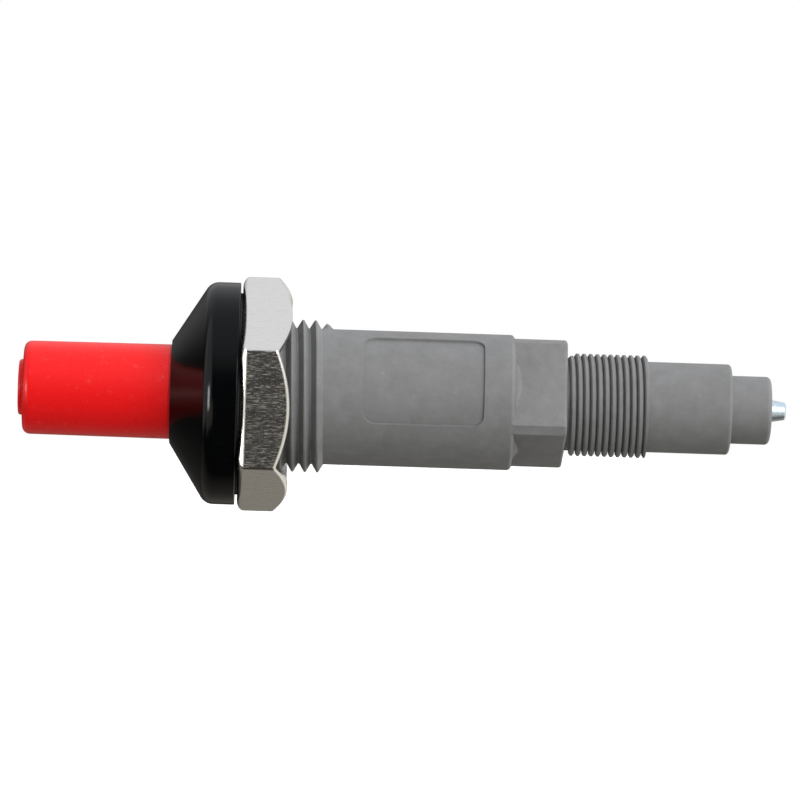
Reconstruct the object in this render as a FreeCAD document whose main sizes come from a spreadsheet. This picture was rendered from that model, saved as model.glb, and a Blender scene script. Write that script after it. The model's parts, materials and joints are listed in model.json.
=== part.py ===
import FreeCAD, Part
import os
import re

import Sketcher

# Push-button piezo igniter for a panel hole. The axis of the igniter is X. The button points to -X and the
# output pin to +X. The origin is on the axis, at the back face of the bezel, which seats on the panel.
# All sizes are in millimetres. "Reach" counts from the panel seat towards -X, "end" towards +X.

SIZES = {
    "button_draft": (0.12, "radius that the button gains down to the bezel"),
    "button_reach": (31.5, "front face of the button, ahead of the panel seat"),
    "button_edge_round": (1.1, "rounding of the button's front edge"),
    "boss_radius": (4.1, "raised round boss on the button"),
    "boss_rise": (0.7, "height of the boss"),
    "boss_round": (0.4, "rounding of the boss"),
    "button_wall": (1.4, "wall of the hollow button"),
    "button_face_wall": (1.8, "wall behind the button's face"),
    "button_rib": (1.2, "thickness of the ribs inside the button"),
    "spring_play": (0.18, "radial gap round the return spring in the button"),
    "seat_reach": (12.0, "where the springs press, ahead of the panel seat"),
    "flange_width": (1.9, "length of the retaining flange"),
    "flange_clearance": (0.2, "radial gap from flange to housing bore"),
    "skirt_wall": (0.95, "wall of the button's skirt"),
    "skirt_room": (0.62, "radial gap from skirt to main bore"),
    "skirt_gap": (0.15, "radial gap from skirt to hammer guide"),
    "skirt_ramp": (1.5, "length of the ramp on the skirt's end"),
    "skirt_tip": (0.22, "thickness of the skirt's very end"),
    "press_travel": (10.5, "how far the button goes in"),
    "stroke_spare": (0.4, "gap left inside the pressed button"),
    "lip_reach": (9.85, "front edge of the bezel, ahead of the panel seat"),
    "lip_gap": (0.3, "radial gap round the button in the bezel"),
    "lip_land": (0.3, "width of the flat ring round the opening"),
    "cone_reach": (4.35, "where the bezel's cone would meet its rim, ahead of the seat"),
    "rim_width": (5.68, "how far the bezel's rim stands out from the spigot"),
    "rim_round": (2.2, "rounding between cone and rim"),
    "spigot_length": (6.5, "length of the housing's spigot inside the bezel"),
    "spigot_step": (0.52, "how far the spigot lies inside the panel thread"),
    "spigot_clearance": (0.06, "radial gap from spigot to bezel"),
    "bead_reach": (2.2, "snap bead, ahead of the seat"),
    "bead_width": (1.6, "length of the bead"),
    "bead_rise": (0.35, "height of the bead"),
    "washer_thickness": (0.35, "panel washer"),
    "washer_inset": (1.5, "how far the panel washer lies inside the bezel's rim"),
    "washer_gap": (0.23, "radial gap from panel washer to thread"),
    "nut_inset": (1.2, "how far the nut's flats lie inside the bezel's rim"),
    "nut_bend": (1.0, "outside bend radius at the nut's front"),
    "nut_sheet": (1.25, "sheet thickness"),
    "nut_corner_end": (5.84, "back edge of the nut at its corners"),
    "nut_flat_end": (7.7, "back edge of the nut at mid-face"),
    "nut_turn": (-8.4, "turn of the nut's front facet, upwards"),
    "nut_entry": (0.5, "bevel at the front of the nut's bore"),
    "collar_length": (4.8, "threaded collar, from the nut's front face"),
    "collar_wall": (0.95, "wall of the threaded collar"),
    "panel_pitch": (1.84, "pitch of the panel thread"),
    "panel_first": (1.94, "first full crest above the axis"),
    "panel_tail": (1.083, "from the last crest's end to the end of the taper"),
    "panel_runout": (12.1, "where the thread's end starts to taper"),
    "panel_taper": (2.0, "length of the taper, down to the barrel"),
    "panel_land": (0.35, "plain collar at the start of the thread"),
    "thread_play": (0.1, "gap between the threads, along the axis and radially"),
    "nut_turns": (1.8, "turns of the nut's own thread"),
    "thread_sink": (0.08, "how deep a thread's root lies in its cylinder"),
    "barrel_wall": (1.475, "wall of the barrel"),
    "barrel_end": (40.5, "rear end of the barrel"),
    "barrel_round": (0.6, "rounding of the barrel's rear edge"),
    "label_gap": (4.25, "from the thread's taper to the label place"),
    "label_margin": (4.5, "from the label place to the barrel's rear edge"),
    "label_depth": (0.36, "depth of the label place"),
    "label_angle": (85.2, "angle that the label place takes round the barrel"),
    "label_turn": (69.5, "turn of the label place from straight up to the front"),
    "label_corner": (1.8, "corner radius of the label place"),
    "square_drop": (0.04, "how far the square's flats lie inside the rear thread"),
    "square_length": (7.7, "length of the wrench square"),
    "square_bevel": (1.0, "bevel of the square's four long edges"),
    "square_turn": (21.7, "turn of the square's front flat, upwards"),
    "square_edge": (0.35, "bevel of the square's rear edges"),
    "flare_land": (0.2, "ring between the hollow flare and the barrel's rounded edge"),
    "rear_depth": (0.6, "depth of the rear thread"),
    "rear_pitch": (0.985, "pitch of the rear thread"),
    "rear_lead": (0.82, "from the square to the rear thread's first crest above the axis"),
    "rear_length": (12.0, "length of the rear thread"),
    "rear_rest": (0.48, "from the last crest to the end of the rear thread"),
    "rear_crest": (0.3, "crest width of the rear thread"),
    "rear_shoulder": (0.72, "width of the rear thread at its shoulders"),
    "rear_shoulder_drop": (0.24, "shoulders below the crest"),
    "tail_step": (0.29, "how far the tail lies inside the rear thread's root"),
    "tail_wall": (1.67, "wall of the tail"),
    "tail_floor": (3.65, "wall behind the ceramic stack"),
    "tail_round": (0.5, "rounding of the tail's edge"),
    "nose_step": (1.66, "how far the nose lies inside the tail"),
    "nose_length": (5.95, "length of the nose"),
    "nose_round": (0.7, "rounding of the nose's edge"),
    "bore_floor": (2.0, "from the main bore's step to the barrel's rear edge"),
    "guide_wall": (1.2, "wall of the hammer guide"),
    "guide_cap": (1.5, "front wall of the hammer guide"),
    "guide_foot_gap": (0.25, "radial gap from the guide's foot to the bore"),
    "guide_foot": (3.0, "length of the guide's foot"),
    "hammer_radius": (5.5, "hammer"),
    "hammer_clearance": (0.08, "radial running clearance of the hammer"),
    "hammer_stroke": (8.0, "travel from the latch to the anvil"),
    "hammer_step": (2.2, "how far the hammer's nose and tail lie inside its heavy end"),
    "hammer_nose_length": (1.0, "length of the nose"),
    "hammer_head": (8.8, "length of the hammer's heavy end"),
    "groove_width": (1.8, "latch groove"),
    "groove_sink": (1.1, "depth of the latch groove"),
    "collar_width": (1.5, "collar that the latch holds"),
    "spigot_tail": (4.8, "length of the hammer's tail in the spring"),
    "hammer_edge": (0.4, "bevels on the hammer"),
    "anvil_dome": (1.5, "length of the anvil's striking face"),
    "anvil_flange": (1.6, "thickness of the anvil's flange"),
    "anvil_gap": (0.9, "radial gap from the anvil's flange to the bore"),
    "anvil_stem": (3.0, "length of the anvil's stem"),
    "cushion_thickness": (1.0, "cushion ring"),
    "cushion_room": (1.35, "room round the hammer's nose in the cushion ring"),
    "strip_thickness": (0.3, "earth strip"),
    "strip_width": (3.0, "width of the earth strip"),
    "strip_gap": (0.1, "gap round the earth strip"),
    "strip_inset": (2.3, "from the earth strip's end to the bezel's rim"),
    "disc_thickness": (0.4, "contact discs"),
    "rod_radius": (3.2, "ceramic rods"),
    "rod_length": (11.0, "length of one ceramic rod"),
    "sleeve_wall": (1.6, "wall of the insulating sleeve"),
    "sleeve_gap": (0.1, "gap from the stack to the sleeve and from it to the bore"),
    "electrode_length": (3.0, "back electrode"),
    "pin_head": (1.2, "head of the terminal pin"),
    "pin_radius": (1.65, "terminal pin"),
    "pin_tip_radius": (1.25, "tip of the terminal pin"),
    "pin_reach": (2.35, "how far the terminal pin stands out of the nose"),
    "pin_hole_gap": (0.05, "gap round the pin in the nose"),
    "seat_thickness": (0.5, "spring seat"),
    "seat_lap": (1.1, "how far the spring seat reaches inside the impact spring"),
    "seat_gap": (0.1, "radial gap round the spring seat"),
    "impact_wire": (0.9, "wire of the impact spring"),
    "impact_play": (0.2, "radial gap from the hammer's tail to the impact spring"),
    "impact_turns": (10.0, "turns of the impact spring"),
    "return_wire": (0.56, "wire of the return spring"),
    "return_play": (0.32, "radial gap between the impact and return springs"),
    "return_turns": (8.0, "turns of the return spring"),
    "reset_wire": (0.45, "wire of the reset spring"),
    "reset_play": (0.375, "radial gap from the hammer's nose to the reset spring"),
    "reset_turns": (5.0, "turns of the reset spring"),
    "latch_sheet": (0.3, "sheet of the latch spring"),
    "latch_ring": (4.0, "length of the latch spring's ring"),
    "latch_finger": (3.2, "width of a finger"),
    "latch_hook": (1.6, "width of a hook"),
    "latch_room": (1.94, "gap from the latch's ring to the guide's foot"),
    "latch_ear": (2.2, "length of the ears that the skirt lifts"),
    "latch_ear_turn": (24.0, "slope of the ears"),
    "latch_grip": (0.82, "how deep a hook reaches into the groove"),
    "latch_free": (0.06, "gap from a hook to the collar"),
    "latch_split": (2.0, "slot that lets the ring open"),
    "window_spare": (0.3, "room round a hook in its window"),
}

# Places that follow from the sizes, written as formulas. A name here can stand in any formula below it.
# Radii grow outwards from the hammer and, behind the bore, from the ceramic rods.
PLACES = {
    "hammer_nose": "hammer_radius - hammer_step",
    "hammer_tail": "hammer_radius - hammer_step",
    "groove_radius": "hammer_radius - groove_sink",
    "guide_bore": "hammer_radius + hammer_clearance",
    "guide_outer": "guide_bore + guide_wall",
    "skirt_inner": "guide_outer + skirt_gap",
    "skirt_outer": "skirt_inner + skirt_wall",
    "bore_radius": "skirt_outer + skirt_room",
    "bore_minus_flange": "bore_radius - flange_clearance",
    "barrel_radius": "bore_radius + barrel_wall",
    "panel_crest": "panel_pitch / 7",
    "panel_rise": "panel_pitch / 2 - panel_crest / 2 - thread_sink / 2",
    "panel_major": "barrel_radius - thread_sink + panel_rise / tan(30 deg)",
    "spigot_radius": "panel_major - spigot_step",
    "rim_radius": "spigot_radius + rim_width",
    "washer_radius": "rim_radius - washer_inset",
    "nut_flats": "2 * (rim_radius - nut_inset)",
    "strip_reach": "rim_radius - strip_inset",
    "impact_coil": "hammer_tail + impact_play + impact_wire / 2",
    "return_coil": "impact_coil + impact_wire / 2 + return_play + return_wire / 2",
    "reset_coil": "hammer_nose + reset_play + reset_wire / 2",
    "seat_hole": "impact_coil - impact_wire / 2 - seat_lap",
    "button_bore": "return_coil + return_wire / 2 + spring_play",
    "button_radius": "button_bore + button_wall",
    "button_root": "button_radius + button_draft",
    "lip_radius": "button_root + lip_gap",
    "cushion_hole": "hammer_nose + cushion_room",
    "anvil_flange_radius": "bore_radius - anvil_gap",
    "sleeve_inner": "rod_radius + sleeve_gap",
    "sleeve_outer": "sleeve_inner + sleeve_wall",
    "stack_bore": "sleeve_outer + sleeve_gap",
    "pin_head_radius": "rod_radius - sleeve_gap",
    "tail_radius": "stack_bore + tail_wall",
    "nose_radius": "tail_radius - nose_step",
    "rear_minor": "tail_radius + tail_step",
    "rear_major": "rear_minor + rear_depth",
    "square_side": "2 * (rear_major - square_drop)",
    "square_core": "square_side / 2 - square_edge",
    "flare_radius": "barrel_radius - square_core - barrel_round - flare_land",
    "flange_back": "flange_width - spigot_length",
    "button_step": "flange_back - 0.6 * flange_width",
    "guide_front": "button_step + press_travel + stroke_spare",
    "panel_end": "panel_runout + panel_taper",
    "label_start": "panel_end + label_gap",
    "label_end": "barrel_end - label_margin",
    "square_end": "barrel_end + square_length",
    "rear_first": "square_end + rear_lead",
    "rear_end": "square_end + rear_length",
    "bore_end": "barrel_end - bore_floor",
    "anvil_flange_front": "bore_end - anvil_flange",
    "anvil_face": "anvil_flange_front - anvil_dome",
    "lug_front": "anvil_flange_front - strip_thickness",
    "guide_end": "lug_front - cushion_thickness",
    "hammer_front": "anvil_face - hammer_stroke",
    "hammer_shoulder": "hammer_front - hammer_nose_length",
    "groove_end": "hammer_shoulder - hammer_head",
    "groove_start": "groove_end - groove_width",
    "collar_start": "groove_start - collar_width",
    "hammer_start": "collar_start - spigot_tail",
    "hook_front": "groove_start + latch_free",
    "ring_start": "guide_end - guide_foot - latch_room - latch_ring",
    "skirt_end": "hook_front + skirt_ramp - press_travel",
    "stack_start": "bore_end + anvil_stem",
    "rod_start": "stack_start + disc_thickness",
    "rod_middle": "rod_start + rod_length",
    "rear_rod_start": "rod_middle + disc_thickness",
    "rear_rod_end": "rear_rod_start + rod_length",
    "electrode_start": "rear_rod_end + disc_thickness",
    "electrode_end": "electrode_start + electrode_length",
    "stack_bore_end": "electrode_end + pin_head",
    "tail_end": "stack_bore_end + tail_floor",
    "nose_end": "tail_end + nose_length",
    "pin_end": "nose_end + pin_reach",
    "nut_front": "washer_thickness",
    "nut_thread_radius": "panel_major + 0.6 * thread_play",
    "collar_outer": "nut_thread_radius + collar_wall",
}

FULL_TURN = 360
FINGERS = 3
FLANK = "tan(30 deg)"
WORD = re.compile(r"[a-z]+(?:_[a-z]+)*")

doc = FreeCAD.newDocument("Igniter")
sheet = doc.addObject("Spreadsheet::Sheet", "Sizes")
for row, (alias, (value, meaning)) in enumerate(SIZES.items(), start=1):
    sheet.set(f"A{row}", meaning)
    sheet.set(f"B{row}", str(value))
    sheet.setAlias(f"B{row}", alias)
doc.recompute()


def formula(text):
    """The same formula with every place written out and every size read from the sheet."""

    def swap(match):
        word = match.group(0)
        if word in PLACES:
            return f"({formula(PLACES[word])})"
        if word in SIZES:
            return f"Sizes.{word}"
        return word

    return WORD.sub(swap, str(text))


def number(text):
    """The present value of a formula."""
    value = sheet.evalExpression(formula(text))
    return float(getattr(value, "Value", value))


def bind(item, **sizes):
    """Set properties of an object to formulas."""
    for name, text in sizes.items():
        item.setExpression(name, formula(text))


def new_body(label):
    body = doc.addObject("PartDesign::Body", label)
    body.Label = label
    body.Placement = FreeCAD.Placement()
    return body


def origin_item(body, role):
    return next(item for item in body.Origin.OriginFeatures if item.Role == role)


def new_sketch(body, name, turn="0", shift="0"):
    """A sketch in the upright plane through the axis. turn rotates it about the axis and shift moves it
    along its own normal."""
    sketch = body.newObject("Sketcher::SketchObject", name)
    sketch.AttachmentSupport = [(origin_item(body, "XZ_Plane"), "")]
    sketch.MapMode = "FlatFace"
    axis = FreeCAD.Vector(1, 0, 0)
    sketch.AttachmentOffset = FreeCAD.Placement(FreeCAD.Vector(), FreeCAD.Rotation(axis, 1))
    sketch.setExpression(".AttachmentOffset.Rotation.Angle", formula(turn))
    sketch.setExpression(".AttachmentOffset.Base.z", formula(shift))
    return sketch


def cross_sketch(body, name, station, turn="0"):
    """A sketch square to the axis at a station along it. Its across is Y and its up is Z before it is
    turned about the axis."""
    sketch = body.newObject("Sketcher::SketchObject", name)
    sketch.AttachmentSupport = [(origin_item(body, "YZ_Plane"), "")]
    sketch.MapMode = "FlatFace"
    axis = FreeCAD.Vector(0, 0, 1)
    sketch.AttachmentOffset = FreeCAD.Placement(FreeCAD.Vector(), FreeCAD.Rotation(axis, 1))
    sketch.setExpression(".AttachmentOffset.Rotation.Angle", formula(turn))
    sketch.setExpression(".AttachmentOffset.Base.z", formula(station))
    return sketch


def hold(sketch, kind, line, point, text):
    """Hold one end of a line at a distance from the sketch's own origin."""
    index = sketch.addConstraint(Sketcher.Constraint(kind, -1, 1, line, point, number(text)))
    sketch.setExpression(f"Constraints[{index}]", formula(text))


def outline(sketch, points):
    """Draw a closed outline of straight lines whose corners are given by formulas."""
    spots = [FreeCAD.Vector(number(across), number(up), 0) for across, up in points]
    for start, end in zip(spots, spots[1:] + spots[:1]):
        sketch.addGeometry(Part.LineSegment(start, end), False)
    for line, (across, up) in enumerate(points):
        before = (line - 1) % len(points)
        sketch.addConstraint(Sketcher.Constraint("Coincident", before, 2, line, 1))
        hold(sketch, "DistanceX", line, 1, across)
        hold(sketch, "DistanceY", line, 1, up)


def circle(sketch, radius, across="0", up="0"):
    centre = FreeCAD.Vector(number(across), number(up), 0)
    index = sketch.addGeometry(Part.Circle(centre, FreeCAD.Vector(0, 0, 1), number(radius)), False)
    hold(sketch, "DistanceX", index, 3, across)
    hold(sketch, "DistanceY", index, 3, up)
    size = sketch.addConstraint(Sketcher.Constraint("Radius", index, number(radius)))
    sketch.setExpression(f"Constraints[{size}]", formula(radius))


def turned(body, name, points, cut=False):
    """Turn an outline about the axis, adding or cutting."""
    sketch = new_sketch(body, f"{name}Outline")
    outline(sketch, points)
    kind = "PartDesign::Groove" if cut else "PartDesign::Revolution"
    feature = body.newObject(kind, name)
    feature.Profile = sketch
    feature.ReferenceAxis = (sketch, ["H_Axis"])
    feature.Angle = FULL_TURN
    doc.recompute()
    return feature


def ring(body, name, inner, outer, start, end, cut=False):
    """A plain ring or disc round the axis."""
    return turned(body, name, [(start, inner), (end, inner), (end, outer), (start, outer)], cut)


def block(body, name, low, high, cut=False):
    """A box between two corners, adding or cutting."""
    feature = body.newObject(f"PartDesign::{'Subtractive' if cut else 'Additive'}Box", name)
    for side, near, far in zip(("Length", "Width", "Height"), low, high):
        feature.setExpression(side, formula(f"({far}) - ({near})"))
    for letter, near in zip("xyz", low):
        feature.setExpression(f"Placement.Base.{letter}", formula(near))
    doc.recompute()
    return feature


def extruded(body, name, sketch, length, cut=False):
    """Pad a sketch along its normal, or pocket it the other way."""
    feature = body.newObject(f"PartDesign::{'Pocket' if cut else 'Pad'}", name)
    feature.Profile = sketch
    bind(feature, Length=length)
    doc.recompute()
    return feature


def helix(body, name, sketch, pitch, height):
    """Wind a sketch round the axis as a right-handed helix."""
    feature = body.newObject("PartDesign::AdditiveHelix", name)
    feature.Profile = sketch
    feature.ReferenceAxis = (sketch, ["H_Axis"])
    feature.Mode = 0
    feature.Pitch = number(pitch)
    feature.Height = number(height)
    bind(feature, Pitch=pitch, Height=height)
    doc.recompute()
    return feature


def polar(body, name, features, count):
    """Repeat features round the axis."""
    pattern = body.newObject("PartDesign::PolarPattern", name)
    pattern.Originals = features
    pattern.Axis = (origin_item(body, "X_Axis"), [""])
    pattern.Angle = FULL_TURN
    pattern.Occurrences = count
    body.Tip = pattern
    doc.recompute()
    return pattern


def dress(body, kind, name, size, wanted):
    """Round or bevel the edges of the body that pass a test."""
    base = body.Tip
    names = [f"Edge{step}" for step, edge in enumerate(base.Shape.Edges, start=1) if wanted(edge)]
    if not names:
        raise RuntimeError(f"{body.Label}: no edge for {name}")
    feature = body.newObject(f"PartDesign::{kind}", name)
    feature.Base = (base, names)
    bind(feature, **{"Radius" if kind == "Fillet" else "Size": size})
    doc.recompute()
    return feature


def near(value, text, slack=0.005):
    return abs(value - number(text)) < slack


def is_ring(edge, station, radius):
    """Is the edge a circle round the axis, at this station and of this radius?"""
    if not isinstance(edge.Curve, Part.Circle):
        return False
    centre = edge.Curve.Center
    return near(centre.x, station) and near(edge.Curve.Radius, radius)


def on_station(edge, station):
    """Does the whole edge lie square to the axis at this station?"""
    box = edge.BoundBox
    return near(box.XMin, station) and near(box.XMax, station)


def radius_of(point):
    return (point.y**2 + point.z**2) ** 0.5


def thread_rib(body, name, first, steps):
    """The section of a thread rib. steps are (half width, radius) formulas from its root to its crest."""
    sketch = new_sketch(body, name)
    left = [(f"{first} - ({half})", radius) for half, radius in steps]
    right = [(f"{first} + ({half})", radius) for half, radius in reversed(steps)]
    outline(sketch, left + right)
    return sketch


def regular(sketch, sides, inner_radius):
    """A regular outline given by the distance from its middle to its sides, one side facing -across."""
    spread = f"({inner_radius}) / cos({180 / sides} deg)"
    angles = [f"({180 / sides} deg + {360 * step / sides} deg)" for step in range(sides)]
    outline(sketch, [(f"{spread} * cos{angle}", f"{spread} * sin{angle}") for angle in angles])


def make_housing():
    body = new_body("housing")
    turned(
        body,
        "Trunk",
        [
            ("-spigot_length", "0"),
            ("nose_end", "0"),
            ("nose_end", "nose_radius"),
            ("tail_end", "nose_radius"),
            ("tail_end", "tail_radius"),
            ("rear_end", "tail_radius"),
            ("rear_end", "rear_minor"),
            ("square_end", "rear_minor"),
            ("square_end", "square_core"),
            ("barrel_end", "square_core"),
            ("barrel_end", "barrel_radius"),
            ("panel_land", "barrel_radius"),
            ("panel_land", "panel_major"),
            ("0", "panel_major"),
            ("0", "spigot_radius"),
            ("-bead_reach", "spigot_radius"),
            ("-bead_reach - bead_width / 3", "spigot_radius + bead_rise"),
            ("-bead_reach - 2 * bead_width / 3", "spigot_radius + bead_rise"),
            ("-bead_reach - bead_width", "spigot_radius"),
            ("-spigot_length", "spigot_radius"),
        ],
    )
    edges = {
        "BarrelEdge": ("barrel_round", "barrel_end", "barrel_radius"),
        "Flare": ("flare_radius", "barrel_end", "square_core"),
        "TailEdge": ("tail_round", "tail_end", "tail_radius"),
        "NoseEdge": ("nose_round", "nose_end", "nose_radius"),
    }
    for name, (size, station, radius) in edges.items():
        dress(body, "Fillet", name, size, lambda e: is_ring(e, station, radius))
    make_square(body)
    make_label_place(body)
    make_panel_thread(body)
    make_rear_thread(body)
    hollow_housing(body)
    return body


def make_square(body):
    """Four flats with bevelled corners, for a wrench or a keyed hole."""
    start = "barrel_end - 2 * barrel_round"
    sketch = cross_sketch(body, "SquareOutline", start, "-square_turn")
    half = "square_side / 2"
    short = "square_side / 2 - square_bevel"
    corners = [(half, short), (short, half), (f"-({short})", half), (f"-{half}", short)]
    corners += [(f"-{half}", f"-({short})"), (f"-({short})", f"-{half}"), (short, f"-{half}")]
    corners += [(half, f"-({short})")]
    outline(sketch, corners)
    extruded(body, "Square", sketch, f"square_end - ({start})")
    dress(
        body,
        "Chamfer",
        "SquareEdge",
        "square_edge",
        lambda e: on_station(e, "square_end") and radius_of(e.CenterOfMass) > number(half) - 0.01,
    )


def make_label_place(body):
    """The recess for a label. Its floor is concentric with the barrel, and it is left bare."""
    sketch = new_sketch(body, "LabelOutline", "label_turn")
    floor = "barrel_radius - label_depth"
    above = "barrel_radius + label_depth"
    inner = [("label_start", floor), ("label_end", floor)]
    outer = [("label_end", above), ("label_start", above)]
    outline(sketch, inner + outer)
    place = body.newObject("PartDesign::Groove", "LabelPlace")
    place.Profile = sketch
    place.ReferenceAxis = (sketch, ["H_Axis"])
    place.Midplane = True
    bind(place, Angle="label_angle")
    doc.recompute()

    def is_corner(edge):
        middle = edge.CenterOfMass
        at_end = near(middle.x, "label_start") or near(middle.x, "label_end")
        return at_end and abs(edge.Length - number("label_depth")) < 0.02

    dress(body, "Fillet", "LabelCorner", "label_corner", is_corner)


def make_panel_thread(body):
    """The coarse thread that the panel nut runs on, with a tapered run-out."""
    root = "barrel_radius - thread_sink"
    steps = [("panel_crest / 2 + panel_rise", root), ("panel_crest / 2", "panel_major")]
    rib = thread_rib(body, "PanelRib", "panel_first", steps)
    helix(body, "PanelThread", rib, "panel_pitch", "panel_end - panel_first - panel_tail")
    turned(
        body,
        "PanelRunOut",
        [
            ("panel_runout", "panel_major + thread_sink"),
            ("panel_end", "barrel_radius + thread_sink"),
            ("panel_end", "panel_major + panel_pitch"),
            ("panel_runout", "panel_major + panel_pitch"),
        ],
        cut=True,
    )


def make_rear_thread(body):
    """The fine rear thread, with rounded crests."""
    steps = [
        ("rear_pitch / 2 - thread_sink / 4", "rear_minor - thread_sink"),
        ("rear_shoulder / 2", "rear_major - rear_shoulder_drop"),
        ("rear_crest / 2", "rear_major"),
    ]
    rib = thread_rib(body, "RearRib", "rear_first", steps)
    helix(body, "RearThread", rib, "rear_pitch", "rear_end - rear_first - rear_rest")


def hollow_housing(body):
    """Main bore, ceramic bore and pin hole, then the grooves of the earth strip."""
    hole = "pin_radius + pin_hole_gap"
    turned(
        body,
        "Bores",
        [
            ("-2 * spigot_length", "0"),
            ("2 * nose_end", "0"),
            ("2 * nose_end", hole),
            ("stack_bore_end", hole),
            ("stack_bore_end", "stack_bore"),
            ("bore_end", "stack_bore"),
            ("bore_end", "bore_radius"),
            ("-2 * spigot_length", "bore_radius"),
        ],
        cut=True,
    )
    side = "strip_width / 2 + strip_gap"
    deep = "strip_thickness + 2 * strip_gap"
    floor = "bore_radius + strip_gap / 2 + strip_thickness + strip_gap"
    under = "spigot_radius - strip_gap - strip_thickness - strip_gap"
    block(
        body,
        "BoreSlot",
        ("-2 * spigot_length", "bore_radius / 2 + stack_bore / 2", f"-({side})"),
        ("lug_front + strip_thickness + strip_gap", floor, side),
        cut=True,
    )
    block(
        body,
        "FrontNotch",
        ("-2 * spigot_length", "bore_radius - strip_gap", f"-({side})"),
        (f"{deep} - spigot_length", "spigot_radius + bead_rise + bead_width", side),
        cut=True,
    )
    block(
        body,
        "SpigotSlot",
        ("-2 * spigot_length", under, f"-({side})"),
        ("0", "spigot_radius + bead_rise + bead_width", side),
        cut=True,
    )


def make_bezel():
    body = new_body("bezel")
    hollow = "spigot_radius + spigot_clearance"
    turned(
        body,
        "Collar",
        [
            ("-lip_reach", "lip_radius"),
            ("-spigot_length", "lip_radius"),
            ("-spigot_length", hollow),
            ("-bead_reach - bead_width", hollow),
            ("-bead_reach - 2 * bead_width / 3", f"{hollow} + bead_rise"),
            ("-bead_reach - bead_width / 3", f"{hollow} + bead_rise"),
            ("-bead_reach", hollow),
            ("0", hollow),
            ("0", "rim_radius"),
            ("-cone_reach", "rim_radius"),
            ("-lip_reach", "lip_radius + lip_land"),
        ],
    )
    dress(body, "Fillet", "RimRound", "rim_round", lambda e: is_ring(e, "-cone_reach", "rim_radius"))
    side = "strip_width / 2 + strip_gap"
    block(
        body,
        "StripRecess",
        ("-strip_thickness - strip_gap", "spigot_radius - bead_width", f"-({side})"),
        ("bead_width", "strip_reach + strip_gap", side),
        cut=True,
    )
    return body


def make_button():
    body = new_body("push_button")
    turned(
        body,
        "Cap",
        [
            ("-button_reach - boss_rise", "0"),
            ("button_face_wall - button_reach", "0"),
            ("button_face_wall - button_reach", "button_bore"),
            ("button_step", "button_bore"),
            ("button_step", "skirt_inner"),
            ("skirt_end", "skirt_inner"),
            ("skirt_end", "skirt_inner + skirt_tip"),
            ("skirt_end - skirt_ramp", "skirt_outer"),
            ("flange_back", "skirt_outer"),
            ("flange_back", "bore_minus_flange"),
            ("-spigot_length", "bore_minus_flange"),
            ("-spigot_length", "button_root"),
            ("-button_reach", "button_radius"),
            ("-button_reach", "boss_radius"),
            ("-button_reach - boss_rise", "boss_radius"),
        ],
    )
    dress(
        body,
        "Fillet",
        "FrontEdge",
        "button_edge_round",
        lambda e: is_ring(e, "-button_reach", "button_radius"),
    )
    dress(
        body,
        "Fillet",
        "BossEdge",
        "boss_round",
        lambda e: is_ring(e, "-button_reach - boss_rise", "boss_radius"),
    )
    half = "button_rib / 2"
    reach = "button_bore + button_wall / 2"
    start = "button_face_wall / 2 - button_reach"
    end = "-seat_reach - seat_thickness"
    block(body, "UprightRib", (start, f"-{half}", f"-({reach})"), (end, half, reach))
    block(body, "LevelRib", (start, f"-({reach})", f"-{half}"), (end, reach, half))
    return body


def make_nut():
    """A nut pressed from sheet: a hexagon cup open at the back, with a threaded collar drawn from its web."""
    body = new_body("mounting_nut")
    sketch = cross_sketch(body, "HexagonOutline", "nut_front", "-nut_turn")
    regular(sketch, 6, "nut_flats / 2")
    extruded(body, "Hexagon", sketch, "nut_flat_end - nut_front")
    dress(body, "Fillet", "Bend", "nut_bend", lambda e: on_station(e, "nut_front"))
    hollow = cross_sketch(body, "HollowOutline", "nut_flat_end", "-nut_turn")
    regular(hollow, 6, "nut_flats / 2 - nut_sheet")
    extruded(body, "Hollow", hollow, "nut_flat_end - nut_front - nut_sheet", cut=True)
    corner = "nut_flats / 2 / cos(30 deg)"
    turned(
        body,
        "BackCone",
        [
            ("nut_flat_end", "nut_flats / 2"),
            ("2 * nut_flat_end - nut_corner_end", f"2 * nut_flats / 2 - {corner}"),
            ("3 * nut_flat_end", f"2 * nut_flats / 2 - {corner}"),
            ("3 * nut_flat_end", f"{corner} * 2 - nut_flats / 2"),
            ("2 * nut_corner_end - nut_flat_end", f"{corner} * 2 - nut_flats / 2"),
        ],
        cut=True,
    )
    ring(body, "DrawnCollar", "nut_thread_radius", "collar_outer", "nut_front", "nut_front + collar_length")
    ring(body, "NutBore", "0", "nut_thread_radius", "-nut_flat_end", "2 * nut_flat_end", cut=True)
    dress(body, "Chamfer", "Entry", "nut_entry", lambda e: is_ring(e, "nut_front", "nut_thread_radius"))
    make_nut_thread(body)
    return body


def make_nut_thread(body):
    """Ribs that lie in the middle of the panel thread's grooves, with play on both flanks."""
    tip = "barrel_radius + 2 * thread_play"
    groove = "panel_pitch / 2 - panel_crest / 2 - thread_play"
    half_tip = f"{groove} - (panel_major - ({tip})) * {FLANK}"
    root = "nut_thread_radius + thread_sink"
    half_root = f"{groove} - (panel_major - ({root})) * {FLANK}"
    first = "(panel_first + panel_pitch / 2)"
    rib = thread_rib(body, "NutRib", first, [(half_root, root), (half_tip, tip)])
    helix(body, "NutThread", rib, "panel_pitch", "(nut_turns - 1) * panel_pitch")


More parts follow.
